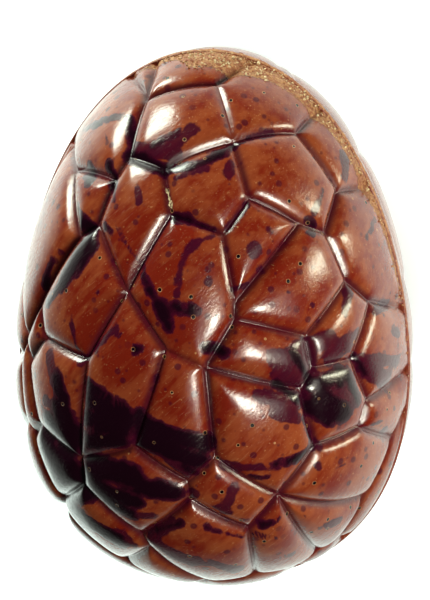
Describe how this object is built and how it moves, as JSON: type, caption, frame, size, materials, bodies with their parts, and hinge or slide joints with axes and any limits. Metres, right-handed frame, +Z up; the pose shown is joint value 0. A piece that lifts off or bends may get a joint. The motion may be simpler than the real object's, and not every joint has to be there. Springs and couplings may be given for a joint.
{
  "type": "chocolate egg",
  "caption": "Solid moulded chocolate Easter egg with a crackled surface of pillowed plates, lying on its back half with the lengthwise seam level.",
  "frame": {"origin": "bottom centre of the egg's bounding box, on the plane the egg rests on", "axes": "+Y along the egg's long axis to the pointed end, +Z up out of the shown half, +X to the egg's right; the seam lies in the level plane through the long axis"},
  "size_m": [0.0868, 0.1186, 0.0848],
  "materials": {
    "chocolate": "glossy"
  },
  "bodies": {
    "root": {"egg": "chocolate"}
  },
  "joints": []
}
